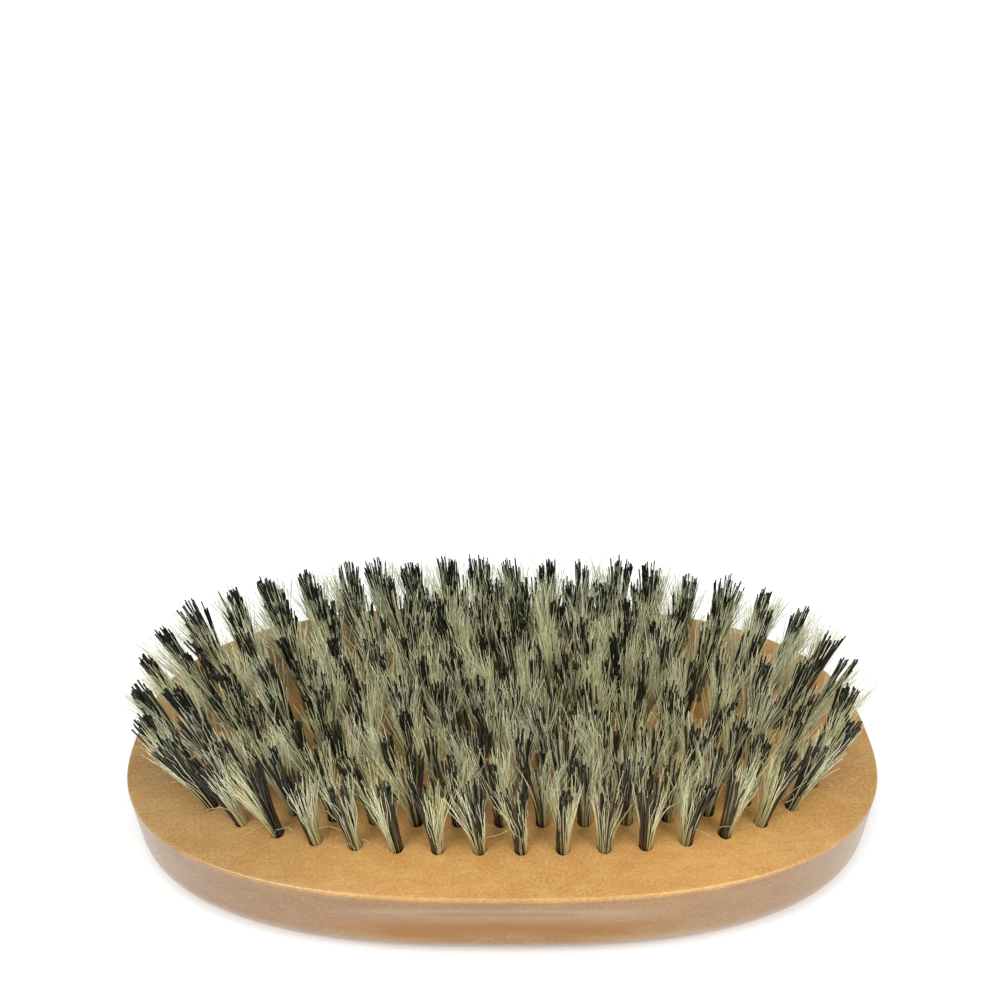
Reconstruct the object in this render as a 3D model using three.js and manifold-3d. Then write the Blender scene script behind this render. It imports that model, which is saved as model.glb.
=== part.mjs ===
// Oval palm brush for beards: a drilled wooden handle block, folded bristle tufts and their wire anchors.
// Millimetres, +Z up. The origin is the centre of the flat back, +X runs along the length and the
// bristles point up.

import * as THREE from "three";
import { mergeVertices } from "three/addons/utils/BufferGeometryUtils.js";
import Module from "manifold-3d";

const wasm = await Module();
wasm.setup();

// Handle block
const BLOCK_LENGTH = 125;
const BLOCK_WIDTH = 64.6;
const BLOCK_THICKNESS = 17;
const BLOCK_POWER = 2.56; // superellipse power of the outline
const OUTLINE_POINTS = 80;
const BACK_EDGE_HEIGHT = 7.5; // the rounded edge between the wall and the flat back
const BACK_EDGE_INSET = 6.5;
const BACK_EDGE_STEPS = 4;

// Finger groove, one along each long side, left by a round cutter that runs parallel to X
const GROOVE_CUTTER_RADIUS = 6.9;
const GROOVE_DEPTH = 1.0;
const GROOVE_BELOW_FACE = 6.8;
const GROOVE_CUTTER_SIDES = 24;

// Tuft field: rings of tufts round a straight middle row, counted on each long side and each end
const FIELD_OFFSET_Y = 0.8; // from the middle of the block to the middle of the field
const RING_HALF_LENGTH = 52.9; // to the centres of the outer ring of tufts
const RING_HALF_WIDTH = 24.6;
const RING_POWER = 2.8; // superellipse power of the outer ring, and how much squarer each inner one is
const RING_POWER_STEP = 0.4;
const SIDE_PITCH = 4.92; // from ring to ring along the long sides
const END_PITCH = 5.5; // from ring to ring at the ends
const RINGS = [
  { side: 16, end: 5 },
  { side: 13, end: 5 },
  { side: 12, end: 3 },
  { side: 11, end: 1 },
  { side: 10, end: 1 },
];
const MIDDLE_PITCH = 6; // along the middle row
const MIDDLE_COUNT = 9;
const RING_SAMPLES = 720;

// Tufts, set in holes that fan outwards
const TUFT_LENGTH = 16; // above the face
const TUFT_ROOT_RADIUS = 1.0;
const TUFT_TIP_HALF_DEPTH = 2.2;
const TUFT_SIDES = 6;
const HEXAGON_FLAT = Math.cos(Math.PI / TUFT_SIDES); // half width between flats, for a corner radius of 1
const FAN_X = 0.09; // how far a tip at the end of the field lies outside its root, as a share of the root's x
const FAN_Y = 0.05; // the same in y, for every tuft
const LEAN_X = -0.9; // and how far every tip leans along the block
const TIP_CLEARANCE = 0.4; // from a separate tuft's tip to halfway to its neighbour
const TIP_JOIN = 0.15; // how far a joined tuft's tip passes the halfway point
const HOLE_RADIUS = 1.3;
const HOLE_DEPTH = 11;
const HOLE_OVERRUN = 1; // the drill starts this far above the face
const FOLD_GAP = 0.3; // between the fold of a tuft and the bottom of its hole

// Anchors: flat wire across the fold of a tuft
const ANCHOR_LENGTH = 3.0;
const ANCHOR_THICKNESS = 0.35;
const ANCHOR_HEIGHT = 1.3;
const ANCHOR_ABOVE_HOLE_BOTTOM = 1.1;
const ANCHOR_GAP = 0.1;

const FACE_Z = BLOCK_THICKNESS;

// Materials

function woodMaterial() {
  return new THREE.MeshStandardMaterial({ color: 0xd2a068, roughness: 0.38, metalness: 0 });
}

function bristleMaterial() {
  return new THREE.MeshStandardMaterial({ color: 0x8c8468, roughness: 0.7, metalness: 0 });
}

function anchorMaterial() {
  return new THREE.MeshStandardMaterial({ color: 0xb9bbbd, roughness: 0.35, metalness: 1 });
}

// Solids

function toSolid(geometry) {
  const bare = geometry.clone();
  bare.deleteAttribute("normal");
  bare.deleteAttribute("uv");
  const merged = mergeVertices(bare, 1e-4);
  return new wasm.Manifold(
    new wasm.Mesh({
      numProp: 3,
      vertProperties: new Float32Array(merged.attributes.position.array),
      triVerts: new Uint32Array(merged.index.array),
    })
  );
}

function toGeometry(solid) {
  const mesh = solid.getMesh();
  const geometry = new THREE.BufferGeometry();
  geometry.setAttribute("position", new THREE.BufferAttribute(mesh.vertProperties, 3));
  geometry.setIndex(new THREE.BufferAttribute(mesh.triVerts, 1));
  geometry.computeVertexNormals();
  return geometry;
}

// Ovals

function ovalPoint(halfLength, halfWidth, power, angle) {
  const c = Math.cos(angle);
  const s = Math.sin(angle);
  const x = halfLength * Math.sign(c) * Math.abs(c) ** (2 / power);
  const y = halfWidth * Math.sign(s) * Math.abs(s) ** (2 / power);
  return new THREE.Vector2(x, y);
}

// Points at equal steps along an oval, anticlockwise from the middle of its -Y side.
function ovalSteps(halfLength, halfWidth, power, count, phase) {
  const samples = [];
  for (let i = 0; i <= RING_SAMPLES; i++) {
    const angle = -Math.PI / 2 + (2 * Math.PI * i) / RING_SAMPLES;
    samples.push(ovalPoint(halfLength, halfWidth, power, angle));
  }
  const lengths = [0];
  for (let i = 1; i <= RING_SAMPLES; i++) {
    lengths.push(lengths[i - 1] + samples[i].distanceTo(samples[i - 1]));
  }
  const step = lengths[RING_SAMPLES] / count;
  const points = [];
  let i = 1;
  for (let k = 0; k < count; k++) {
    const target = (k + phase) * step;
    while (lengths[i] < target) i++;
    const share = (target - lengths[i - 1]) / (lengths[i] - lengths[i - 1]);
    points.push(samples[i - 1].clone().lerp(samples[i], share));
  }
  return points;
}

// Tuft field: each list holds the sites of neighbouring tufts, in order. A site is a tuft's root in
// the face and the direction of its row there.

function toSites(roots) {
  return roots.map((centred, i) => {
    const before = roots[Math.max(i - 1, 0)];
    const after = roots[Math.min(i + 1, roots.length - 1)];
    const root = new THREE.Vector2(centred.x, centred.y + FIELD_OFFSET_Y);
    return { root, angle: Math.atan2(after.y - before.y, after.x - before.x) };
  });
}

// One ring, split into its -Y side, +X end, +Y side and -X end.
function ringRoots(index) {
  const { side, end } = RINGS[index];
  const count = 2 * (side + end);
  const phase = side % 2 === 0 ? 0.5 : 0;
  const halfLength = RING_HALF_LENGTH - index * END_PITCH;
  const halfWidth = RING_HALF_WIDTH - index * SIDE_PITCH;
  const power = RING_POWER + index * RING_POWER_STEP;
  const points = ovalSteps(halfLength, halfWidth, power, count, phase);
  const start = count - Math.floor(side / 2);
  const turned = points.map((_, i) => points[(start + i) % count]);
  return {
    front: turned.slice(0, side),
    right: turned.slice(side, side + end),
    back: turned.slice(side + end, count - end),
    left: turned.slice(count - end),
  };
}

// The middle row runs on through the end tufts of the rings that have only one there.
function middleRoots(rings) {
  const roots = [];
  for (let i = 0; i < MIDDLE_COUNT; i++) {
    roots.push(new THREE.Vector2((i - (MIDDLE_COUNT - 1) / 2) * MIDDLE_PITCH, 0));
  }
  for (const ring of rings) {
    if (ring.right.length === 1) roots.push(...ring.right, ...ring.left);
  }
  return roots.sort((a, b) => a.x - b.x);
}

// The centre of a tuft at height z, on a line from its root in the face. Tufts fan out in x mostly
// near the two ends of the field.
function axisPoint(root, z) {
  const share = (z - FACE_Z) / TUFT_LENGTH;
  const fan = FAN_X * (root.x / RING_HALF_LENGTH) ** 2;
  return new THREE.Vector2(
    root.x + (root.x * fan + LEAN_X) * share,
    root.y * (1 + FAN_Y * share)
  );
}

// Moves the rings of an upright six-sided prism to the given levels along a tuft's axis. A level has a
// height and a section: how far its flats reach back and ahead along the row, and its half depth
// between corners, across the row.
function placePrism(levels, { root, angle }) {
  const geometry = new THREE.CylinderGeometry(1, 1, 1, TUFT_SIDES, levels.length - 1);
  const position = geometry.attributes.position;
  for (let i = 0; i < position.count; i++) {
    const ring = Math.round((position.getY(i) + 0.5) * (levels.length - 1));
    const level = levels[ring];
    const centre = axisPoint(root, level.z);
    const along = -position.getX(i) / HEXAGON_FLAT;
    const reach = along < 0 ? level.back : level.ahead;
    const offset = new THREE.Vector2(along * reach, position.getZ(i) * level.halfDepth);
    offset.rotateAround(new THREE.Vector2(), angle);
    position.setXYZ(i, centre.x + offset.x, centre.y + offset.y, level.z);
  }
  return geometry;
}

function regularSection(radius) {
  return { back: radius * HEXAGON_FLAT, ahead: radius * HEXAGON_FLAT, halfDepth: radius };
}

function tuftSolid(site, tipReach) {
  const levels = [
    { z: FACE_Z - HOLE_DEPTH + FOLD_GAP, ...regularSection(TUFT_ROOT_RADIUS) },
    { z: FACE_Z, ...regularSection(TUFT_ROOT_RADIUS) },
    { z: FACE_Z + TUFT_LENGTH, ...tipReach, halfDepth: TUFT_TIP_HALF_DEPTH },
  ];
  return toSolid(placePrism(levels, site));
}

function holeSolid(site) {
  const levels = [
    { z: FACE_Z - HOLE_DEPTH, ...regularSection(HOLE_RADIUS) },
    { z: FACE_Z + HOLE_OVERRUN, ...regularSection(HOLE_RADIUS) },
  ];
  return toSolid(placePrism(levels, site));
}

// A block of flat wire across a tuft's hole, along the row, grown by gap on every side.
function anchorSolid({ root, angle }, gap) {
  const z = FACE_Z - HOLE_DEPTH + ANCHOR_ABOVE_HOLE_BOTTOM + ANCHOR_HEIGHT / 2;
  const centre = axisPoint(root, z);
  const geometry = new THREE.BoxGeometry(
    ANCHOR_LENGTH + 2 * gap,
    ANCHOR_THICKNESS + 2 * gap,
    ANCHOR_HEIGHT + 2 * gap
  );
  geometry.rotateZ(angle);
  geometry.translate(centre.x, centre.y, z);
  return toSolid(geometry);
}

// How far each tip in a row reaches towards its neighbours: past halfway by join inside the row, and
// short of halfway by TIP_CLEARANCE at the row's two ends.
function tipReaches(sites, join) {
  const tips = sites.map(({ root }) => axisPoint(root, FACE_Z + TUFT_LENGTH));
  const halves = tips.slice(1).map((tip, i) => tip.distanceTo(tips[i]) / 2);
  return tips.map((_, i) => ({
    back: i > 0 ? halves[i - 1] + join : halves[0] - TIP_CLEARANCE,
    ahead: i < halves.length ? halves[i] + join : halves[i - 1] - TIP_CLEARANCE,
  }));
}

// Sub-parts

function handleBlock(sites, anchoredSites) {
  const outline = [];
  for (let i = 0; i < OUTLINE_POINTS; i++) {
    const angle = (2 * Math.PI * i) / OUTLINE_POINTS;
    outline.push(ovalPoint(BLOCK_LENGTH / 2, BLOCK_WIDTH / 2, BLOCK_POWER, angle));
  }
  const body = new THREE.ExtrudeGeometry(new THREE.Shape(outline), {
    depth: BLOCK_THICKNESS,
    steps: 1,
    bevelEnabled: true,
    bevelThickness: BACK_EDGE_HEIGHT,
    bevelSize: BACK_EDGE_INSET,
    bevelOffset: -BACK_EDGE_INSET,
    bevelSegments: BACK_EDGE_STEPS,
  });
  body.translate(0, 0, BACK_EDGE_HEIGHT);
  const slab = new THREE.BoxGeometry(2 * BLOCK_LENGTH, 2 * BLOCK_WIDTH, BLOCK_THICKNESS);
  slab.translate(0, 0, BLOCK_THICKNESS / 2);
  let solid = toSolid(body).intersect(toSolid(slab));
  for (const side of [-1, 1]) {
    const cutter = new THREE.CylinderGeometry(
      GROOVE_CUTTER_RADIUS,
      GROOVE_CUTTER_RADIUS,
      BLOCK_LENGTH,
      GROOVE_CUTTER_SIDES
    );
    cutter.rotateZ(Math.PI / 2);
    const y = BLOCK_WIDTH / 2 + GROOVE_CUTTER_RADIUS - GROOVE_DEPTH;
    cutter.translate(0, side * y, FACE_Z - GROOVE_BELOW_FACE);
    solid = solid.subtract(toSolid(cutter));
  }
  for (const site of sites) {
    solid = solid.subtract(holeSolid(site));
  }
  for (const site of anchoredSites) {
    solid = solid.subtract(anchorSolid(site, ANCHOR_GAP));
  }
  return new THREE.Mesh(toGeometry(solid), woodMaterial());
}

// One tuft, with a window through its fold where its anchor lies.
function anchoredTuft(site, tipReach) {
  const solid = tuftSolid(site, tipReach).subtract(anchorSolid(site, ANCHOR_GAP));
  return new THREE.Mesh(toGeometry(solid), bristleMaterial());
}

function plainTuft(site, tipReach) {
  return new THREE.Mesh(toGeometry(tuftSolid(site, tipReach)), bristleMaterial());
}

function anchor(site) {
  return new THREE.Mesh(toGeometry(anchorSolid(site, 0)), anchorMaterial());
}

// Neighbouring tufts whose flared tips run into each other.
function joinedTufts(sites) {
  const reaches = tipReaches(sites, TIP_JOIN);
  const tufts = sites.map((site, i) => tuftSolid(site, reaches[i]));
  const solid = tufts.reduce((joined, tuft) => joined.add(tuft));
  return new THREE.Mesh(toGeometry(solid), bristleMaterial());
}

// Assembly

const brush = new THREE.Group();

function addNode(name, mesh) {
  mesh.name = name;
  brush.add(mesh);
}

function numbered(stem, i) {
  return `${stem}_${String(i + 1).padStart(2, "0")}`;
}

const rings = RINGS.map((_, index) => ringRoots(index));
const [outer, ...innerRings] = rings.map(({ front, right, back, left }) => ({
  front: toSites(front),
  right: right.length > 1 ? toSites(right) : [],
  back: toSites(back),
  left: left.length > 1 ? toSites(left) : [],
}));
const middle = toSites(middleRoots(rings));
const allSites = [outer, ...innerRings].flatMap((ring) => Object.values(ring).flat()).concat(middle);

addNode("handle_block", handleBlock(allSites, outer.front));

const frontReaches = tipReaches(outer.front, -TIP_CLEARANCE);
outer.front.forEach((site, i) => {
  addNode(numbered("front_tuft", i), anchoredTuft(site, frontReaches[i]));
  addNode(numbered("front_anchor", i), anchor(site));
});

for (const end of ["right", "left"]) {
  const reaches = tipReaches(outer[end], -TIP_CLEARANCE);
  outer[end].forEach((site, i) => {
    addNode(numbered(`${end}_end_tuft`, i), plainTuft(site, reaches[i]));
  });
}
addNode("back_tufts", joinedTufts(outer.back));

innerRings.forEach((ring, i) => {
  for (const [part, sites] of Object.entries(ring)) {
    if (sites.length > 0) addNode(`${numbered("inner_ring", i)}_${part}_tufts`, joinedTufts(sites));
  }
});
addNode("middle_row_tufts", joinedTufts(middle));

export default brush;
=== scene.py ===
"""Looks of the oval palm brush: lacquered wooden block, folded tufts of dark and pale bristle, wire anchors.

Metres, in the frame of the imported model: the origin is the centre of the flat back, +X runs along the
length and the bristles point up. Driving dimensions are in millimetres, as in the part's own source.
"""

import math

import bpy
import numpy as np
from mathutils import Matrix, Vector
from mathutils.geometry import delaunay_2d_cdt


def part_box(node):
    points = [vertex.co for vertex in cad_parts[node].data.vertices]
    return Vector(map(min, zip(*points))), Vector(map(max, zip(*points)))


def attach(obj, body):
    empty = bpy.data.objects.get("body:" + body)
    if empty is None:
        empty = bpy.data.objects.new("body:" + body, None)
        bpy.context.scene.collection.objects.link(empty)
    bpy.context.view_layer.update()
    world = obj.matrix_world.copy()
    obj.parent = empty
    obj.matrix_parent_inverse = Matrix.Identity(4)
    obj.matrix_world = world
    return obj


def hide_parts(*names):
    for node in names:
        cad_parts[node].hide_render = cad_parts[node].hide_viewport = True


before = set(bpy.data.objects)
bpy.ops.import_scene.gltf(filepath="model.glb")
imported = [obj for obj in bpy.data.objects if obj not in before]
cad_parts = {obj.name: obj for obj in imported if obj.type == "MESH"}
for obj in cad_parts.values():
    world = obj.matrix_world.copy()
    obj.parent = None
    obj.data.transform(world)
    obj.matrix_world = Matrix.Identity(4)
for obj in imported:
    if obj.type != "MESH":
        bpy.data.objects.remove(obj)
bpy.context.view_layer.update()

MM = 0.001
SEED = 4120

# Handle block, in millimetres
block_low, block_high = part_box("handle_block")
BLOCK_LENGTH = (block_high.x - block_low.x) / MM
BLOCK_WIDTH = (block_high.y - block_low.y) / MM
FACE_Z = block_high.z / MM
BLOCK_POWER = 2.56  # of the superellipse, 2 for an ellipse
OUTLINE_POINTS = 320
BACK_EDGE_HEIGHT = 7.5
BACK_EDGE_INSET = 6.5
BACK_EDGE_STEPS = 20
FACE_EDGE_RADIUS = 0.45
FACE_EDGE_STEPS = 5
LOOP_INSET = 0.35  # a loop of points just inside each rounded edge keeps the back and the face flat
WALL_STEP = 0.4
GROOVE_CUTTER_RADIUS = 6.9
GROOVE_DEPTH = 1.0
GROOVE_BELOW_FACE = 6.8
GROOVE_SOFTNESS = 0.9

# Tuft field, in millimetres
FIELD_OFFSET = (0, 0.8)
RING_HALF_LENGTH = 52.9
RING_HALF_WIDTH = 24.6
RING_POWER = 2.8
RING_POWER_STEP = 0.4
SIDE_PITCH = 4.92
END_PITCH = 5.5
RINGS = [(16, 5), (13, 5), (12, 3), (11, 1), (10, 1)]  # tufts on each long side and on each end
MIDDLE_PITCH = 6
MIDDLE_COUNT = 9
RING_SAMPLES = 720

# Tufts and holes, in millimetres
TUFT_LENGTH = 16
FAN_X = 0.09
FAN_Y = 0.05
LEAN_X = -0.9
HOLE_RADIUS = 1.04
HOLE_MOUTH_RADIUS = 1.11
HOLE_MOUTH_DEPTH = 0.1
HOLE_WALL_DEPTH = 10.6
HOLE_DEPTH = 11
HOLE_SIDES = 16

# Anchors, in millimetres
ANCHOR_LENGTH = 3.0
ANCHOR_THICKNESS = 0.35
ANCHOR_HEIGHT = 1.3
ANCHOR_CHAMFER_SHARE = 0.25
ANCHOR_ABOVE_HOLE_BOTTOM = 1.1

# Strands, in millimetres. A spot is a leg's place in the hole, as a share of the hole's radius, and reach is
# how many times further out its tip is. Pairs are a random draw's (low, high) or (middle, deviation).
STRANDS = {
    "dark": {
        "length": 14.9,
        "length_noise": (-0.2, 0.65),
        "most_noise": 0.7,
        "radius": 0.155,
        "tip_share": 0.85,
        "sides": 5,
        "leg_points": 5,
        "inner_spot": 0.15,
        "wave": 0.07,
        "bend": 0.15,
    },
    "pale": {
        "length": 14.1,
        "length_noise": (0, 1.25),
        "most_noise": math.inf,
        "radius": 0.07,
        "tip_share": 0.5,
        "sides": 3,
        "leg_points": 8,
        "inner_spot": 0.1,
        "wave": 0.15,
        "bend": 0.28,
    },
}
THINNEST = 0.85
THICKNESS_RANGE = 0.3
TINT_TO_THICKNESS = 7.3  # large enough to hide that a strand's thickness follows from its tint
HOLE_CLEARANCE = 0.04
HIGHEST_TIP = TUFT_LENGTH + 0.4
RISE_SHARE = 0.42  # of the tip's height, where a leg begins to spread
RISE_SPREAD = 0.15
LEG_POINT_POWER = 1.1
WAVE_TURNS = (0.6, 2.0)
# Points of a fold: side of the anchor, height from the face, squeeze towards the hole's axis, and least
# distance from the anchor's middle plane
FOLD = [
    (-1, -9.4, 0.85, 0.45),
    (-1, -10.25, 0.45, 0.3),
    (0, -10.55, 1.0, 0.0),
    (1, -10.25, 0.45, 0.3),
    (1, -9.4, 0.85, 0.45),
]

# How tufts differ: random draws, and what is added at the field's rim, back and left end
DARK_COUNT = (6, 13)
DARK_COUNT_RIM = 4
DARK_COUNT_BACK = 3
DARK_COUNT_LEFT = 2.5
PALE_COUNT = (37, 49)
PALE_COUNT_RIM = -13
PALE_COUNT_BACK = 3
DARK_SHIFT = 0.6  # of the dark spots along the row, the pale ones going the other way
DARK_ASIDE = 0.9  # of the dark tips in any direction, and of the pale ones in the opposite one
PALE_ASIDE_SHARE = 0.8
ASIDE_BACK = -0.6
DARK_LOOSENESS = (0.45, 1.25)
DARK_REACH = (0.75, 1.15)
DARK_SCATTER = 0.27
PALE_REACH = (0.7, 1.3)
PALE_REACH_SCATTER = 0.6  # added to the furthest reach for each millimetre of scatter
PALE_SCATTER = 0.9
PALE_SCATTER_RIM = -0.3
SPREAD = (2.0, 2.6)
SPREAD_RIM = -0.12
SPREAD_BACK = 0.15
HEIGHT_DEVIATION = 0.35
HEIGHT_BACK = -0.25
LEAN_DEVIATION = 0.35
STALK = 5.0  # the most height at which legs begin to spread
STALK_RIM = 1.0
STALK_BACK = -2.0
TONE_BACK = -0.8
BRIGHTNESS_BACK = -0.6

# Stray hairs, in millimetres and radians
MOST_STRAYS = 0.03  # of a tuft's pale strands
STRAY_LENGTH = (6, 11)
STRAY_FALL = (0.4, 0.85)
STRAY_TIP_ABOVE_FACE = 0.6
STRAY_RIM = 0.8  # share of the way to the field's rim, squared, past which strays point outwards
STRAY_RIM_TURN = 0.45
STRAY_X_SHARE = 0.35
STRAY_BEND = 1.0
STRAY_WAVE = 0.3


# Meshes


def make_mesh(name, points, quads, triangles=()):
    """A mesh object from points in millimetres, with its faces smooth."""
    quads = np.asarray(quads, np.int32).reshape(-1, 4)
    triangles = np.asarray(triangles, np.int32).reshape(-1, 3)
    mesh = bpy.data.meshes.new(name)
    mesh.vertices.add(len(points))
    mesh.vertices.foreach_set("co", (np.asarray(points, float) * MM).astype(np.float32).ravel())
    corners = np.concatenate([quads.ravel(), triangles.ravel()])
    sizes = np.concatenate([np.full(len(quads), 4), np.full(len(triangles), 3)])
    mesh.loops.add(len(corners))
    mesh.loops.foreach_set("vertex_index", corners.astype(np.int32))
    mesh.polygons.add(len(sizes))
    mesh.polygons.foreach_set("loop_start", (np.cumsum(sizes) - sizes).astype(np.int32))
    mesh.update(calc_edges=True)
    mesh.validate()
    mesh.shade_smooth()
    piece = bpy.data.objects.new(name, mesh)
    bpy.context.scene.collection.objects.link(piece)
    return piece


def sharpen(piece, degrees):
    """Edges that turn by more than this angle are shaded sharp."""
    piece.data.set_sharp_from_angle(angle=math.radians(degrees))


def finish_piece(piece, material, nodes=()):
    """Gives a piece its material, body and slot, and hides the CAD nodes it replaces."""
    piece.data.materials.append(material)
    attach(piece, "root")
    if nodes:
        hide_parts(*nodes)


# Ovals and the tuft field


def oval_point(half_length, half_width, power, angle):
    """A point of a superellipse."""
    c = math.cos(angle)
    s = math.sin(angle)
    x = math.copysign(half_length * abs(c) ** (2 / power), c)
    y = math.copysign(half_width * abs(s) ** (2 / power), s)
    return np.array([x, y])


def oval_steps(half_length, half_width, power, count, phase):
    """Points at equal steps along an oval, anticlockwise from the middle of its -Y side."""
    angles = -math.pi / 2 + np.linspace(0, 2 * math.pi, RING_SAMPLES + 1)
    samples = np.array([oval_point(half_length, half_width, power, a) for a in angles])
    steps = np.linalg.norm(np.diff(samples, axis=0), axis=1)
    lengths = np.concatenate([[0], np.cumsum(steps)])
    targets = (np.arange(count) + phase) * lengths[-1] / count
    return np.stack([np.interp(targets, lengths, samples[:, k]) for k in (0, 1)], axis=1)


def to_sites(roots):
    """Each root with the direction of its row there."""
    sites = []
    for i, root in enumerate(roots):
        before = roots[max(i - 1, 0)]
        after = roots[min(i + 1, len(roots) - 1)]
        angle = math.atan2(after[1] - before[1], after[0] - before[0])
        sites.append((root + FIELD_OFFSET, angle))
    return sites


def tuft_rows():
    """The CAD node or stem of each row of tufts, with its sites in order."""
    rows = []
    middle = [np.array([(i - (MIDDLE_COUNT - 1) / 2) * MIDDLE_PITCH, 0.0]) for i in range(MIDDLE_COUNT)]
    for index, (side, end) in enumerate(RINGS):
        count = 2 * (side + end)
        phase = 0.5 if side % 2 == 0 else 0
        points = oval_steps(
            RING_HALF_LENGTH - index * END_PITCH,
            RING_HALF_WIDTH - index * SIDE_PITCH,
            RING_POWER + index * RING_POWER_STEP,
            count,
            phase,
        )
        turned = np.roll(points, side // 2, axis=0)
        right = turned[side : side + end]
        left = turned[count - end :]
        parts = [("front", turned[:side]), ("back", turned[side + end : count - end])]
        if end > 1:
            parts += [("right", right), ("left", left)]
        else:
            middle += [right[0], left[0]]
        for part, roots in parts:
            if index > 0:
                rows.append((f"inner_ring_{index:02d}_{part}_tufts", to_sites(roots)))
            elif part == "back":
                rows.append(("back_tufts", to_sites(roots)))
            else:
                stem = "front_tuft" if part == "front" else f"{part}_end_tuft"
                for i, site in enumerate(to_sites(roots)):
                    rows.append((f"{stem}_{i + 1:02d}", [site]))
    middle.sort(key=lambda root: root[0])
    rows.append(("middle_row_tufts", to_sites(middle)))
    return rows


def axis_point(root, z):
    """The centre of a tuft at height z above the face. Tufts fan out in x mostly near the field's ends."""
    share = np.asarray(z)[..., None] / TUFT_LENGTH
    fan = FAN_X * (root[0] / RING_HALF_LENGTH) ** 2
    return root + np.array([root[0] * fan + LEAN_X, root[1] * FAN_Y]) * share


# Handle block


def block_profile():
    """(inset, height) of each ring of the block from the flat back up to the face."""
    rings = [(BACK_EDGE_INSET + LOOP_INSET, 0.0)]
    for i in range(BACK_EDGE_STEPS):
        angle = math.pi / 2 * i / BACK_EDGE_STEPS
        inset = BACK_EDGE_INSET * (1 - math.sin(angle))
        rings.append((inset, BACK_EDGE_HEIGHT * (1 - math.cos(angle))))
    wall_top = FACE_Z - FACE_EDGE_RADIUS
    wall_steps = round((wall_top - BACK_EDGE_HEIGHT) / WALL_STEP)
    for i in range(wall_steps):
        rings.append((0.0, BACK_EDGE_HEIGHT + (wall_top - BACK_EDGE_HEIGHT) * i / wall_steps))
    for i in range(FACE_EDGE_STEPS + 1):
        angle = math.pi / 2 * i / FACE_EDGE_STEPS
        inset = FACE_EDGE_RADIUS * (1 - math.cos(angle))
        rings.append((inset, wall_top + FACE_EDGE_RADIUS * math.sin(angle)))
    return rings


def inset_outline(inset):
    """The block's outline moved in along its own normals."""
    angles = np.linspace(0, 2 * math.pi, OUTLINE_POINTS, endpoint=False)
    points = np.array([oval_point(BLOCK_LENGTH / 2, BLOCK_WIDTH / 2, BLOCK_POWER, a) for a in angles])
    along = np.roll(points, -1, axis=0) - np.roll(points, 1, axis=0)
    along /= np.linalg.norm(along, axis=1)[:, None]
    normals = np.stack([along[:, 1], -along[:, 0]], axis=1)
    return points - normals * inset


def groove_limit(height):
    """How far from the middle line the finger groove's cutter leaves the wood at this height."""
    below = height - (FACE_Z - GROOVE_BELOW_FACE)
    if abs(below) >= GROOVE_CUTTER_RADIUS:
        return math.inf
    centre = BLOCK_WIDTH / 2 + GROOVE_CUTTER_RADIUS - GROOVE_DEPTH
    return centre - math.sqrt(GROOVE_CUTTER_RADIUS**2 - below**2)


def with_groove(points, height):
    """Pulls a ring's points in where a finger groove crosses it, with a softened edge."""
    limit = groove_limit(height)
    if math.isinf(limit):
        return points
    reach = np.abs(points[:, 1])
    lower = np.minimum(reach, limit)
    blend = np.maximum(GROOVE_SOFTNESS - np.abs(reach - limit), 0) / GROOVE_SOFTNESS
    lower = lower - blend**2 * GROOVE_SOFTNESS / 4
    grooved = points.copy()
    grooved[:, 1] = np.sign(points[:, 1]) * lower
    return grooved


def add_hole(root, points, quads, triangles):
    """Adds the wall and bottom of a tuft's hole, and gives the points round its mouth."""
    start = len(points)
    circle = np.linspace(0, 2 * math.pi, HOLE_SIDES, endpoint=False)
    levels = [
        (HOLE_MOUTH_RADIUS, 0.0),
        (HOLE_RADIUS, -HOLE_MOUTH_DEPTH),
        (HOLE_RADIUS, -HOLE_WALL_DEPTH),
    ]
    for radius, z in levels:
        x, y = axis_point(root, z)
        points += [(x + radius * math.cos(a), y + radius * math.sin(a), FACE_Z + z) for a in circle]
    deepest = start + (len(levels) - 1) * HOLE_SIDES
    for level in range(start, deepest, HOLE_SIDES):
        for i in range(HOLE_SIDES):
            j = (i + 1) % HOLE_SIDES
            quads.append((level + i, level + j, level + HOLE_SIDES + j, level + HOLE_SIDES + i))
    bottom = len(points)
    x, y = axis_point(root, -HOLE_DEPTH)
    points.append((x, y, FACE_Z - HOLE_DEPTH))
    triangles += [(bottom, deepest + i, deepest + (i + 1) % HOLE_SIDES) for i in range(HOLE_SIDES)]
    return list(range(start, start + HOLE_SIDES))


def make_block(rows, material):
    """The block, ring by ring from the back to the face, then the back, the face's rim and the holes."""
    points = []
    quads = []
    triangles = []
    profile = block_profile()
    for inset, height in profile:
        points += [(x, y, height) for x, y in with_groove(inset_outline(inset), height)]
    centre = len(points)
    points.append((0.0, 0.0, 0.0))
    rim = len(points)
    points += [(x, y, FACE_Z) for x, y in inset_outline(FACE_EDGE_RADIUS + LOOP_INSET)]
    n = OUTLINE_POINTS
    starts = [level * n for level in range(len(profile))] + [rim]
    for low, high in zip(starts, starts[1:]):
        for i in range(n):
            j = (i + 1) % n
            quads.append((low + i, low + j, high + j, high + i))
    triangles += [(centre, (i + 1) % n, i) for i in range(n)]
    loops = [list(range(rim, rim + n))]
    for _, sites in rows:
        loops += [add_hole(root, points, quads, triangles) for root, _ in sites]
    triangles += face_triangles(points, loops)
    block = make_mesh("lacquered_block", points, quads, triangles)
    sharpen(block, 35)
    finish_piece(block, material, ["handle_block"])


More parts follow.
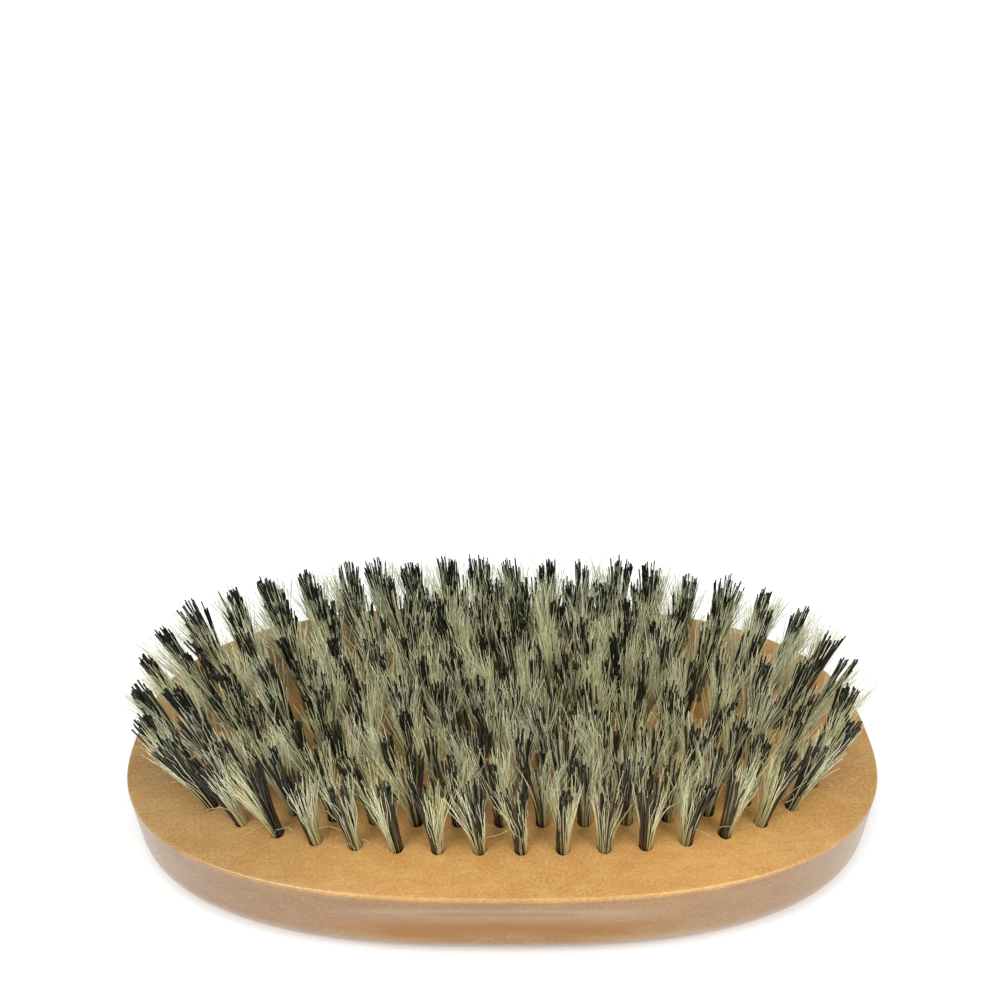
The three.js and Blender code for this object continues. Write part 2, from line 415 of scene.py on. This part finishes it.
def face_triangles(points, loops):
    """Triangles of the face between its outer loop and the mouths of the holes."""
    flat = []
    source = []
    edges = []
    for loop in loops:
        start = len(flat)
        flat += [Vector(points[k][:2]) for k in loop]
        source += loop
        edges += [(start + i, start + (i + 1) % len(loop)) for i in range(len(loop))]
    # output type 1 fills the outer loop, so the mouths' own triangles are dropped below
    corners, _, faces, origins, _, _ = delaunay_2d_cdt(flat, edges, [], 1, 1e-6)
    index = [source[origin[0]] for origin in origins]
    outer = len(loops[0])
    kept = []
    for face in faces:
        first = {origins[k][0] for k in face}
        holes = {(k - outer) // HOLE_SIDES for k in first if k >= outer}
        if len(holes) == 1 and min(first) >= outer:
            continue
        area = (corners[face[1]] - corners[face[0]]).cross(corners[face[2]] - corners[face[0]])
        turned = face if area > 0 else face[::-1]
        kept.append(tuple(index[k] for k in turned))
    return kept


# Tufts


def tube_faces(strands, rings, sides):
    """Faces of strands of closed tubes whose vertices run strand by strand and ring by ring."""
    base = (np.arange(strands) * rings * sides)[:, None, None]
    ring = (np.arange(rings - 1) * sides)[None, :, None]
    side = np.arange(sides)[None, None, :]
    after = (side + 1) % sides
    a = base + ring + side
    b = base + ring + after
    quads = np.stack([a, b, b + sides, a + sides], axis=-1).reshape(-1, 4)
    fan = [(0, k + 1, k) for k in range(1, sides - 1)]
    first = (base[:, 0] + np.array(fan).ravel()[None]).reshape(-1, 3)
    top = (rings - 1) * sides
    fan = [(top, top + k, top + k + 1) for k in range(1, sides - 1)]
    last = (base[:, 0] + np.array(fan).ravel()[None]).reshape(-1, 3)
    return quads, np.concatenate([first, last])


ACROSS_NO_STRAND = (0.31, 0.92, 0.17)  # a direction that no strand's first step is likely to take


def tube_points(paths, radii, sides):
    """Vertices of round tubes along paths of shape (strands, points, 3), in millimetres."""
    tangents = np.gradient(paths, axis=1)
    tangents /= np.linalg.norm(tangents, axis=2, keepdims=True) + 1e-12
    normal = np.cross(tangents[:, 0], ACROSS_NO_STRAND)
    normal /= np.linalg.norm(normal, axis=1, keepdims=True)
    angles = np.linspace(0, 2 * math.pi, sides, endpoint=False)
    rings = []
    for k in range(paths.shape[1]):
        t = tangents[:, k]
        normal = normal - np.sum(normal * t, axis=1, keepdims=True) * t
        normal /= np.linalg.norm(normal, axis=1, keepdims=True)
        across = np.cross(t, normal)
        offset = normal[:, None] * np.cos(angles)[None, :, None]
        offset = offset + across[:, None] * np.sin(angles)[None, :, None]
        rings.append(paths[:, k, None] + offset * radii[:, k, None, None])
    return np.stack(rings, axis=1).reshape(-1, 3)


def bezier(points, t):
    """Points of cubic curves whose control points have shape (strands, 4, 3)."""
    t = t[None, :, None]
    p = points[:, :, None]
    return (
        p[:, 0] * (1 - t) ** 3
        + 3 * p[:, 1] * t * (1 - t) ** 2
        + 3 * p[:, 2] * t**2 * (1 - t)
        + p[:, 3] * t**3
    )


def legs(root, offsets, tips, bend, wave, stalk, leg_points, rng):
    """Free parts of strands from their roots in the face to their tips, above the face."""
    count = len(offsets)
    base = np.zeros((count, 3))
    base[:, :2] = root + offsets
    rise = base.copy()
    rise[:, 2] = np.minimum(tips[:, 2] * RISE_SHARE, stalk)
    rise[:, :2] += axis_point(root, rise[:, 2]) - root + offsets * RISE_SPREAD
    upper = rise + (tips - rise) * 0.5 + bend
    controls = np.stack([base, rise, upper, tips], axis=1)
    t = np.linspace(0, 1, leg_points) ** LEG_POINT_POWER
    path = bezier(controls, t)
    phase = rng.uniform(0, 2 * math.pi, (count, 2))
    turns = rng.uniform(*WAVE_TURNS, (count, 1))
    for k in (0, 1):
        swing = np.sin(phase[:, k, None] + 2 * math.pi * turns * t[None]) - np.sin(phase[:, k, None])
        path[:, :, k] += wave[:, None] * swing * t[None]
    return path


def folded_paths(site, spots, tips, bend, wave, stalk, leg_points, rng):
    """Strands folded under the anchor: tip, face, fold, face, tip. Spots, tips and the rest come in
    pairs, one leg on each side of the anchor."""
    root, angle = site
    first = legs(root, spots[0], tips[0], bend[0], wave[0], stalk, leg_points, rng)
    second = legs(root, spots[1], tips[1], bend[1], wave[1], stalk, leg_points, rng)
    across = np.array([-math.sin(angle), math.cos(angle)])
    fold = []
    for side, z, squeeze, clear in FOLD:
        if side == 0:
            spot = (spots[0] + spots[1]) / 2
            spot = spot - (spot @ across)[:, None] * across
        else:
            spot = spots[max(side, 0)] * squeeze
            beside = side * (spot @ across)
            spot = spot + side * (np.maximum(beside, clear) - beside)[:, None] * across
        point = np.full((len(spot), 3), z)
        point[:, :2] = axis_point(root, z) + spot
        fold.append(point)
    fold = np.stack(fold, axis=1)
    return np.concatenate([first[:, ::-1], fold, second], axis=1)


def tuft_strands(site, kind, tuft, rng):
    """Paths of one kind of strand in one tuft."""
    root, angle = site
    along = np.array([math.cos(angle), math.sin(angle)])
    across = np.array([-math.sin(angle), math.cos(angle)])
    strand = STRANDS[kind]
    own = tuft[kind]
    count = own["count"]
    most = (HOLE_RADIUS - strand["radius"] - HOLE_CLEARANCE) / HOLE_RADIUS
    pairs = []
    for side in (-1, 1):
        # where the leg leaves the hole, in the tuft's own directions, as a share of the hole's radius
        turn = rng.uniform(0, math.pi, count)
        out = np.sqrt(rng.uniform(strand["inner_spot"], 1, count))
        u = np.cos(turn) * out + own["shift"]
        v = side * np.sin(turn) * out
        shrink = np.minimum(1, most / np.maximum(np.hypot(u, v), 1e-6))
        offset = (u[:, None] * along + v[:, None] * across) * (shrink * HOLE_RADIUS)[:, None]
        noise = np.minimum(rng.normal(*strand["length_noise"], count), strand["most_noise"])
        height = strand["length"] + tuft["height"] + noise
        reach = own["spread"] * rng.uniform(*own["reach"], count)
        scatter = rng.normal(0, own["scatter"], (count, 2)) + own["aside"]
        wave = np.abs(rng.normal(0, strand["wave"], count))
        bend = rng.normal(0, strand["bend"], (count, 3))
        tip = np.zeros((count, 3))
        tip[:, :2] = axis_point(root, height) + offset * reach[:, None] + scatter + tuft["lean"]
        tip[:, 2] = np.minimum(height, HIGHEST_TIP)
        if kind == "pale":
            stray = rng.uniform(0, 1, count) < tuft["stray_share"]
            lie_down(tip, bend, wave, stray, root, rng)
        pairs.append((offset, tip, bend, wave))
    return folded_paths(site, *zip(*pairs), tuft["stalk"], strand["leg_points"], rng)


def lie_down(tip, bend, wave, stray, root, rng):
    """Moves the tips of stray hairs to the side of their tuft and lower, mostly outwards at the rim."""
    count = int(stray.sum())
    outwards = math.atan2(root[1], root[0] * STRAY_X_SHARE)
    edge = (root[0] / RING_HALF_LENGTH) ** 2 + (root[1] / RING_HALF_WIDTH) ** 2
    freedom = STRAY_RIM_TURN if edge > STRAY_RIM else 1
    turn = outwards + rng.uniform(-1, 1, count) * math.pi * freedom
    fall = rng.uniform(*STRAY_FALL, count)
    length = rng.uniform(*STRAY_LENGTH, count)
    tip[stray, 0] = root[0] + np.cos(turn) * np.sin(fall) * length
    tip[stray, 1] = root[1] + np.sin(turn) * np.sin(fall) * length
    tip[stray, 2] = np.cos(fall) * length + STRAY_TIP_ABOVE_FACE
    bend[stray, 2] += rng.uniform(0, STRAY_BEND, count)
    wave[stray] += rng.uniform(0, STRAY_WAVE, count)


def tuft_character(root, rng):
    """What the strands of one tuft share. Tufts at the field's rim are slim with a dark core, those at
    the back are evenly mixed and duller, and dark bristles are commoner at the left end."""
    x_share = root[0] / RING_HALF_LENGTH
    y_share = root[1] / RING_HALF_WIDTH
    rim = (abs(x_share) ** RING_POWER + abs(y_share) ** RING_POWER) ** 2
    back = max(y_share, 0)
    slim = rim * (1 - back)
    dark = rng.integers(*DARK_COUNT) + DARK_COUNT_RIM * rim + DARK_COUNT_BACK * back
    pale = rng.integers(*PALE_COUNT) + PALE_COUNT_RIM * slim + PALE_COUNT_BACK * back
    shift = rng.uniform(-DARK_SHIFT, DARK_SHIFT)
    aside = rng.uniform(-DARK_ASIDE, DARK_ASIDE, 2) * (1 + ASIDE_BACK * back)
    looseness = rng.uniform(*DARK_LOOSENESS)
    height = rng.normal(0, HEIGHT_DEVIATION) + HEIGHT_BACK * back
    spread = rng.uniform(*SPREAD) * (1 + SPREAD_RIM * slim + SPREAD_BACK * back)
    lean = rng.normal(0, LEAN_DEVIATION, 2)
    stray_share = rng.uniform(0, MOST_STRAYS)
    tone = rng.uniform(0, 1) * (1 + TONE_BACK * back)
    scatter = PALE_SCATTER + PALE_SCATTER_RIM * slim
    return {
        "dark": {
            "count": int(dark - DARK_COUNT_LEFT * x_share),
            "shift": shift,
            "aside": aside,
            "spread": spread * looseness,
            "reach": DARK_REACH,
            "scatter": DARK_SCATTER,
        },
        "pale": {
            "count": int(pale),
            "shift": -shift,
            "aside": -aside * PALE_ASIDE_SHARE,
            "spread": spread,
            "reach": (PALE_REACH[0], PALE_REACH[1] + PALE_REACH_SCATTER * scatter),
            "scatter": scatter,
        },
        "height": height,
        "stalk": STALK + STALK_RIM * slim + STALK_BACK * back,
        "lean": lean,
        "stray_share": stray_share,
        "tone": tone,
        "brightness": 1 + BRIGHTNESS_BACK * back,
    }


def make_tufts(rows, materials):
    """Two pieces for each row of tufts, its dark strands and its pale ones. Each tuft has its own seed."""
    tuft_number = 0
    for node, sites in rows:
        paths = {kind: [] for kind in STRANDS}
        shades = {kind: [] for kind in STRANDS}
        for site in sites:
            rng = np.random.default_rng(SEED + tuft_number)
            tuft_number += 1
            tuft = tuft_character(site[0], rng)
            for kind in STRANDS:
                strands = tuft_strands(site, kind, tuft, rng)
                tints = rng.uniform(0, 1, len(strands)) * tuft["brightness"]
                tones = np.full(len(strands), tuft["tone"])
                paths[kind].append(strands)
                shades[kind].append(np.stack([tints, tones], axis=1))
        for kind, material in materials.items():
            strands = np.concatenate(paths[kind])
            make_strand_piece(node, kind, strands, np.concatenate(shades[kind]), material)


def make_strand_piece(node, kind, paths, shades, material):
    """One piece of strands. Shades holds each strand's own tint and the tone of its tuft."""
    strand = STRANDS[kind]
    sides = strand["sides"]
    leg_points = strand["leg_points"]
    strands, rings = paths.shape[:2]
    paths = paths + np.array([0, 0, FACE_Z])
    thickness = strand["radius"] * (THINNEST + THICKNESS_RANGE * ((shades[:, 0] * TINT_TO_THICKNESS) % 1))
    radii = np.repeat(thickness[:, None], rings, axis=1)
    taper = np.linspace(strand["tip_share"], 1, leg_points)
    radii[:, :leg_points] *= taper
    radii[:, -leg_points:] *= taper[::-1]
    quads, triangles = tube_faces(strands, rings, sides)
    piece = make_mesh(f"{node}_{kind}", tube_points(paths, radii, sides), quads, triangles)
    height = np.clip((paths[:, :, 2] - FACE_Z) / TUFT_LENGTH, 0, 1)
    tint = np.repeat(shades[:, :1], rings, axis=1)
    tone = np.repeat(shades[:, 1:], rings, axis=1)
    looks = np.stack([tint, height, tone], axis=-1).reshape(-1, 3)
    attribute = piece.data.attributes.new("strand", "FLOAT_VECTOR", "POINT")
    attribute.data.foreach_set("vector", np.repeat(looks, sides, axis=0).astype(np.float32).ravel())
    sharpen(piece, 75)
    finish_piece(piece, material, [node])


# Anchors


def make_anchors(rows, material):
    """The anchors of every tuft but the front row's, whose own are CAD nodes."""
    half = np.array([ANCHOR_LENGTH, ANCHOR_THICKNESS, ANCHOR_HEIGHT]) / 2
    chamfer = ANCHOR_THICKNESS * ANCHOR_CHAMFER_SHARE
    # a flat wire's section is rounded at its two narrow edges
    section = [
        (-half[1] + chamfer, -half[2]),
        (half[1] - chamfer, -half[2]),
        (half[1], -half[2] + chamfer),
        (half[1], half[2] - chamfer),
        (half[1] - chamfer, half[2]),
        (-half[1] + chamfer, half[2]),
        (-half[1], half[2] - chamfer),
        (-half[1], -half[2] + chamfer),
    ]
    points = []
    quads = []
    triangles = []
    for node, sites in rows:
        if node.startswith("front_tuft"):
            continue
        for root, angle in sites:
            z = -HOLE_DEPTH + ANCHOR_ABOVE_HOLE_BOTTOM + half[2]
            x, y = axis_point(root, z)
            c = math.cos(angle)
            s = math.sin(angle)
            start = len(points)
            for end in (-half[0], half[0]):
                for v, w in section:
                    points.append((x + end * c - v * s, y + end * s + v * c, FACE_Z + z + w))
            n = len(section)
            for i in range(n):
                j = (i + 1) % n
                quads.append((start + i, start + j, start + n + j, start + n + i))
            for i in range(1, n - 1):
                triangles.append((start, start + i + 1, start + i))
                triangles.append((start + n, start + n + i, start + n + i + 1))
    anchors = make_mesh("inner_anchors", points, quads, triangles)
    sharpen(anchors, 30)
    finish_piece(anchors, material)


# Materials


class Nodes:
    """A material's node tree, with short calls for what repeats."""

    def __init__(self, name):
        self.material = bpy.data.materials.new(name)
        self.material.use_nodes = True
        self.tree = self.material.node_tree
        self.shader = self.tree.nodes["Principled BSDF"]

    def add(self, kind, **values):
        node = self.tree.nodes.new(kind)
        for key, value in values.items():
            setattr(node, key, value)
        return node

    def link(self, output, target):
        self.tree.links.new(output, target)

    def split(self, vector):
        """The three parts of a vector."""
        node = self.add("ShaderNodeSeparateXYZ")
        self.link(vector, node.inputs["Vector"])
        return [node.outputs[part] for part in "XYZ"]

    def noise(self, scale, detail, roughness, distortion=0.0, rotation=(0, 0, 0)):
        """Noise in object coordinates, stretched by a scale for each axis."""
        source = self.add("ShaderNodeTexCoord")
        mapping = self.add("ShaderNodeMapping")
        mapping.inputs["Scale"].default_value = scale
        mapping.inputs["Rotation"].default_value = rotation
        self.link(source.outputs["Object"], mapping.inputs["Vector"])
        node = self.add("ShaderNodeTexNoise")
        node.inputs["Scale"].default_value = 1.0
        node.inputs["Detail"].default_value = detail
        node.inputs["Roughness"].default_value = roughness
        node.inputs["Distortion"].default_value = distortion
        self.link(mapping.outputs["Vector"], node.inputs["Vector"])
        return node.outputs["Fac"]

    def ramp(self, value, stops):
        """A colour ramp from (position, colour) stops."""
        node = self.add("ShaderNodeValToRGB")
        elements = node.color_ramp.elements
        while len(elements) < len(stops):
            elements.new(0.5)
        for element, (position, colour) in zip(elements, stops):
            element.position = position
            element.color = (*colour, 1)
        self.link(value, node.inputs["Fac"])
        return node.outputs["Color"]

    def spread(self, value, low, high, from_low=0.3, from_high=0.7):
        """A value from low to high as the input goes from from_low to from_high."""
        node = self.add("ShaderNodeMapRange")
        node.inputs["From Min"].default_value = from_low
        node.inputs["From Max"].default_value = from_high
        node.inputs["To Min"].default_value = low
        node.inputs["To Max"].default_value = high
        self.link(value, node.inputs["Value"])
        return node.outputs["Result"]

    def mix(self, factor, colour, paint, blend="MIX"):
        """A colour socket with a fixed colour laid over it, as far as the factor says."""
        node = self.add("ShaderNodeMix", data_type="RGBA", blend_type=blend)
        self.link(factor, node.inputs[0])
        self.link(colour, node.inputs[6])
        node.inputs[7].default_value = (*paint, 1)
        return node.outputs[2]

    def math(self, operation, first, second=0.0):
        node = self.add("ShaderNodeMath", operation=operation)
        for socket, value in ((0, first), (1, second)):
            if isinstance(value, (int, float)):
                node.inputs[socket].default_value = value
            else:
                self.link(value, node.inputs[socket])
        return node.outputs["Value"]

    def bump(self, height, distance, strength):
        """Bump from a height socket, with its distance in millimetres."""
        node = self.add("ShaderNodeBump")
        node.inputs["Distance"].default_value = distance * MM
        node.inputs["Strength"].default_value = strength
        self.link(height, node.inputs["Height"])
        self.link(node.outputs["Normal"], self.shader.inputs["Normal"])


# Where the wood's colour changes, in millimetres: x along the block, heights from the face, and in the
# finger grooves from the groove's middle, where painted shade and a painted highlight lie. Strengths are
# shares.
DULL_ENDS_MIDDLE_X = 5
DULL_ENDS = (46, 76)
DULL_ENDS_UNEVENNESS = 30
DULL_ENDS_STRENGTH = 0.6
WALL_TOP = (-0.8, -0.25)
DARKER_FACE = (-36, -12)
# the painted shade in the grooves: how uneven it is, and where it rises and falls
GROOVE_SHADE_UNEVENNESS = 4
GROOVE_SHADE_RISE = (-3.6, -2.4)
GROOVE_SHADE_FALL = (-1.1, 0.5)
# where the painted highlight on each groove's upper lip rises and falls
LIP_HIGHLIGHT_RISE = (1.6, 2.9)
LIP_HIGHLIGHT_FALL = (2.9, 4.4)
GROOVE_ENDS = (15, 28)
GROOVE_STRENGTH = 0.85
GROOVE_SIDE = 28

# Colours of the wood's growth bands, and of what is laid over them, painted shade and a painted highlight
# among them
BAND_COLOURS = [
    (0.36, (0.35, 0.168, 0.043)),
    (0.50, (0.45, 0.238, 0.068)),
    (0.64, (0.55, 0.298, 0.092)),
]
STREAK = (0.34, 0.16, 0.040)
PALE_SPECK = (0.62, 0.38, 0.135)
DARK_SPECK = (0.34, 0.145, 0.036)
PALE_MOTTLE = (0.60, 0.37, 0.11)
DARK_MOTTLE = (0.44, 0.185, 0.045)
PORE = (0.27, 0.125, 0.038)
DULL_ENDS_TINT = (0.70, 0.80, 1.0)
DARKER_FACE_TINT = (0.87, 0.90, 0.96)
# painted shade that darkens and greys the wall
PAINTED_WALL_SHADE = (0.58, 0.56, 0.56)
# painted shade in the lower half of the finger grooves
PAINTED_GROOVE_SHADE = (0.25, 0.100, 0.012)
# painted highlight on the grooves' upper lips, and how strongly it shows
PAINTED_LIP_HIGHLIGHT = (0.34, 0.215, 0.115)
LIP_HIGHLIGHT_SHARE = 0.6


def metres(levels, start=0.0):
    """Levels in millimetres from a start, in metres."""
    return [(start + level) * MM for level in levels]


def wood_material():
    m = Nodes("lacquered_wood")
    # growth bands lie along the length and dip slightly through the thickness
    bands = m.noise((10, 45, 90), 4, 0.55, 0.8, (0.12, 0, 0.12))
    streaks = m.noise((90, 800, 800), 4, 0.6, rotation=(0, 0, 0.05))
    speckle = m.noise((2100, 3000, 3000), 3, 0.65)
    mottling = m.noise((230, 420, 420), 3, 0.6, 0.6)
    pores = m.noise((500, 2600, 2600), 1, 0.5, rotation=(0, 0, 0.04))
    colour = m.ramp(bands, BAND_COLOURS)
    # a pattern's paint goes from one strength to the other between two levels of the pattern
    for pattern, strengths, levels, paint in (
        (streaks, (0.0, 0.35), (0.3, 0.7), STREAK),
        (speckle, (0.0, 0.7), (0.45, 0.70), PALE_SPECK),
        (speckle, (0.36, 0.0), (0.30, 0.48), DARK_SPECK),
        (mottling, (0.0, 0.35), (0.50, 0.72), PALE_MOTTLE),
        (mottling, (0.35, 0.0), (0.32, 0.50), DARK_MOTTLE),
        (pores, (0.0, 0.22), (0.64, 0.76), PORE),
    ):
        colour = m.mix(m.spread(pattern, *strengths, *levels), colour, paint)
    x, y, z = m.split(m.add("ShaderNodeTexCoord").outputs["Object"])
    # the ends are a little duller than the middle, one more than the other
    out = m.math("ABSOLUTE", m.math("SUBTRACT", x, DULL_ENDS_MIDDLE_X * MM))
    uneven_out = m.math("ADD", out, m.math("MULTIPLY", bands, DULL_ENDS_UNEVENNESS * MM))
    dull = m.spread(uneven_out, 0.0, DULL_ENDS_STRENGTH, *metres(DULL_ENDS))
    colour = m.mix(dull, colour, DULL_ENDS_TINT, "MULTIPLY")
    # the face is darker at its left end, and the wall is painted darker and greyer: painted shade
    painted_wall_shade = m.spread(z, 1.0, 0.0, *metres(WALL_TOP, FACE_Z))
    left = m.spread(x, 1.0, 0.0, *metres(DARKER_FACE))
    darker = m.math("MULTIPLY", left, m.math("SUBTRACT", 1.0, painted_wall_shade))
    colour = m.mix(darker, colour, DARKER_FACE_TINT, "MULTIPLY")
    colour = m.mix(painted_wall_shade, colour, PAINTED_WALL_SHADE, "MULTIPLY")
    # painted shade, brown, in the lower half of each finger groove
    middle = FACE_Z - GROOVE_BELOW_FACE
    ends = m.spread(m.math("ABSOLUTE", x), GROOVE_STRENGTH, 0.0, *metres(GROOVE_ENDS))
    side = m.math("GREATER_THAN", m.math("ABSOLUTE", y), GROOVE_SIDE * MM)
    groove = m.math("MULTIPLY", ends, side)
    unevenness = m.math("MULTIPLY", m.math("SUBTRACT", streaks, 0.5), GROOVE_SHADE_UNEVENNESS * MM)
    uneven_z = m.math("ADD", z, unevenness)
    rise = m.spread(uneven_z, 0.0, 1.0, *metres(GROOVE_SHADE_RISE, middle))
    fall = m.spread(uneven_z, 1.0, 0.0, *metres(GROOVE_SHADE_FALL, middle))
    painted_groove_shade = m.math("MULTIPLY", m.math("MULTIPLY", rise, fall), groove)
    colour = m.mix(painted_groove_shade, colour, PAINTED_GROOVE_SHADE)
    # and a painted highlight along its upper lip
    above = m.spread(z, 0.0, 1.0, *metres(LIP_HIGHLIGHT_RISE, middle))
    below = m.spread(z, 1.0, 0.0, *metres(LIP_HIGHLIGHT_FALL, middle))
    painted_lip_highlight = m.math("MULTIPLY", m.math("MULTIPLY", above, below), groove)
    colour = m.mix(m.math("MULTIPLY", painted_lip_highlight, LIP_HIGHLIGHT_SHARE), colour, PAINTED_LIP_HIGHLIGHT)
    m.link(colour, m.shader.inputs["Base Color"])
    # satin wood under thin glossier lacquer
    m.link(m.spread(streaks, 0.40, 0.32), m.shader.inputs["Roughness"])
    m.shader.inputs["Specular IOR Level"].default_value = 0.42
    m.shader.inputs["Coat Weight"].default_value = 0.34
    m.shader.inputs["Coat Roughness"].default_value = 0.14
    grain = m.math("ADD", m.math("MULTIPLY", streaks, 0.5), m.math("MULTIPLY", pores, -0.4))
    m.bump(grain, 0.05, 0.4)
    return m.material


# A strand's shading. Heights are shares of the tuft's length.
TONE_LEVELS = (0.2, 1.0)
TONE_STRENGTH = 0.75
STREAK_STRENGTH = 0.5
# how far up the tuft the painted root shade reaches, and how strong it is
PAINTED_ROOT_SHADE_HEIGHTS = (0.05, 0.58)
PAINTED_ROOT_SHADE_STRENGTH = 0.92


def strand_material(name, stops, tuft_shade, streak_and_painted_root_shade, roughness):
    """A bristle's colour: a tint for each strand, a tone for each tuft, painted shade towards the root and
    fine streaks.
    """
    m = Nodes(name)
    strand = m.add("ShaderNodeAttribute", attribute_name="strand")
    tint, height, tone = m.split(strand.outputs["Vector"])
    colour = m.ramp(tint, stops)
    colour = m.mix(m.spread(tone, 0.0, TONE_STRENGTH, *TONE_LEVELS), colour, tuft_shade)
    streak = m.noise((2500, 2500, 260), 2, 0.5)
    colour = m.mix(m.spread(streak, 0.0, STREAK_STRENGTH), colour, streak_and_painted_root_shade)
    # painted shade towards the root; in the pale hair its golden colour also paints light through the hair
    # and off the wood
    colour = m.mix(m.spread(height, PAINTED_ROOT_SHADE_STRENGTH, 0.0, *PAINTED_ROOT_SHADE_HEIGHTS), colour, streak_and_painted_root_shade)
    m.link(colour, m.shader.inputs["Base Color"])
    m.link(m.spread(streak, *roughness), m.shader.inputs["Roughness"])
    m.bump(streak, 0.02, 0.3)
    return m.material


def dark_material():
    stops = [
        (0.0, (0.009, 0.011, 0.009)),
        (0.55, (0.014, 0.017, 0.014)),
        (0.8, (0.026, 0.030, 0.022)),
        (1.0, (0.070, 0.068, 0.038)),
    ]
    tuft_shade = (0.010, 0.012, 0.012)
    # painted shade at the roots, also the colour of the fine streaks
    streak_and_painted_root_shade = (0.012, 0.009, 0.005)
    return strand_material("dark_bristle", stops, tuft_shade, streak_and_painted_root_shade, (0.3, 0.42))


def pale_material():
    stops = [
        (0.0, (0.24, 0.27, 0.16)),
        (0.2, (0.62, 0.67, 0.45)),
        (0.5, (0.90, 0.94, 0.64)),
        (0.8, (0.93, 0.96, 0.74)),
        (1.0, (0.95, 0.97, 0.84)),
    ]
    tuft_shade = (0.75, 0.73, 0.38)
    # painted shade at the roots, golden as painted light through the hair and off the wood; also the colour
    # of the fine streaks
    streak_and_painted_root_shade = (0.43, 0.36, 0.14)
    return strand_material("pale_bristle", stops, tuft_shade, streak_and_painted_root_shade, (0.4, 0.55))


def wire_material():
    m = Nodes("drawn_wire")
    drawn = m.noise((400, 4000, 4000), 3, 0.6)
    colour = m.ramp(drawn, [(0.3, (0.48, 0.47, 0.45)), (0.7, (0.70, 0.69, 0.66))])
    m.link(colour, m.shader.inputs["Base Color"])
    m.shader.inputs["Metallic"].default_value = 1.0
    m.link(m.spread(drawn, 0.28, 0.45), m.shader.inputs["Roughness"])
    m.bump(drawn, 0.02, 0.4)
    return m.material


def floor_material():
    m = Nodes("pale_floor")
    grain = m.noise((3, 3, 3), 2, 0.5)
    colour = m.ramp(grain, [(0.3, (0.86, 0.86, 0.86)), (0.7, (0.89, 0.89, 0.89))])
    m.link(colour, m.shader.inputs["Base Color"])
    m.shader.inputs["Roughness"].default_value = 0.9
    return m.material


# Stage, light and camera

FLOOR_HALF_SIZE = 3000
WORLD_LIGHT = 0.42
WORLD_SEEN = 1.0
SUNS = [  # name, bearing, height and softness in degrees, strength
    ("left_key", -134, 49, 30, 1.78),
    ("right_key", -46, 50, 30, 1.68),
    ("top", -90, 84, 50, 0.8),
]
CAMERA_PITCH = math.radians(34.4)
CAMERA_YAW = math.radians(-0.65)
CAMERA_ROLL = math.radians(-0.48)
CAMERA_LENS = 34.07
CAMERA_SENSOR = 36
CAMERA_NEAREST = 0.01
CAMERA_AT = (1.39, -111.9, FACE_Z + 124.3)


def make_floor():
    half = FLOOR_HALF_SIZE
    corners = [(-half, -half, 0), (half, -half, 0), (half, half, 0), (-half, half, 0)]
    floor = make_mesh("floor", corners, [(0, 1, 2, 3)])
    floor.data.materials.append(floor_material())


def make_sun(name, azimuth, elevation, softness, strength):
    """Even light over the whole floor, from a bearing and height in degrees. Bearing 0 is +X, 90 is +Y."""
    light = bpy.data.lights.new(name, "SUN")
    light.angle = math.radians(softness)
    light.energy = strength
    lamp = bpy.data.objects.new(name, light)
    turn = math.radians(azimuth)
    rise = math.radians(elevation)
    towards = Vector((math.cos(turn) * math.cos(rise), math.sin(turn) * math.cos(rise), math.sin(rise)))
    lamp.rotation_euler = towards.to_track_quat("Z", "Y").to_euler()
    lamp.location = towards
    bpy.context.scene.collection.objects.link(lamp)


def make_studio():
    scene = bpy.context.scene
    scene.view_settings.view_transform = "Standard"
    world = bpy.data.worlds.new("studio")
    world.use_nodes = True
    background = world.node_tree.nodes["Background"]
    background.inputs["Color"].default_value = (1, 1, 1, 1)
    # the surroundings look white but light the scene softly
    rays = world.node_tree.nodes.new("ShaderNodeLightPath")
    strength = world.node_tree.nodes.new("ShaderNodeMapRange")
    strength.inputs["To Min"].default_value = WORLD_LIGHT
    strength.inputs["To Max"].default_value = WORLD_SEEN
    world.node_tree.links.new(rays.outputs["Is Camera Ray"], strength.inputs["Value"])
    world.node_tree.links.new(strength.outputs["Result"], background.inputs["Strength"])
    scene.world = world
    for sun in SUNS:
        make_sun(*sun)


def make_camera():
    camera = bpy.data.cameras.new("photo_view")
    camera.lens = CAMERA_LENS
    camera.sensor_width = CAMERA_SENSOR
    camera.clip_start = CAMERA_NEAREST
    viewer = bpy.data.objects.new("photo_view", camera)
    turn = Matrix.Rotation(-CAMERA_YAW, 4, "Z")
    tilt = Matrix.Rotation(math.pi / 2 - CAMERA_PITCH, 4, "X")
    roll = Matrix.Rotation(CAMERA_ROLL, 4, "Z")
    place = Matrix.Translation(Vector(CAMERA_AT) * MM)
    viewer.matrix_world = place @ turn @ tilt @ roll
    bpy.context.scene.collection.objects.link(viewer)
    bpy.context.scene.camera = viewer


rows = tuft_rows()
wire = wire_material()
make_block(rows, wood_material())
make_tufts(rows, {"dark": dark_material(), "pale": pale_material()})
make_anchors(rows, wire)
for name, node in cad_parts.items():
    if name.startswith("front_anchor"):
        node.data.materials.clear()
        node.data.materials.append(wire)
make_floor()
make_studio()
make_camera()
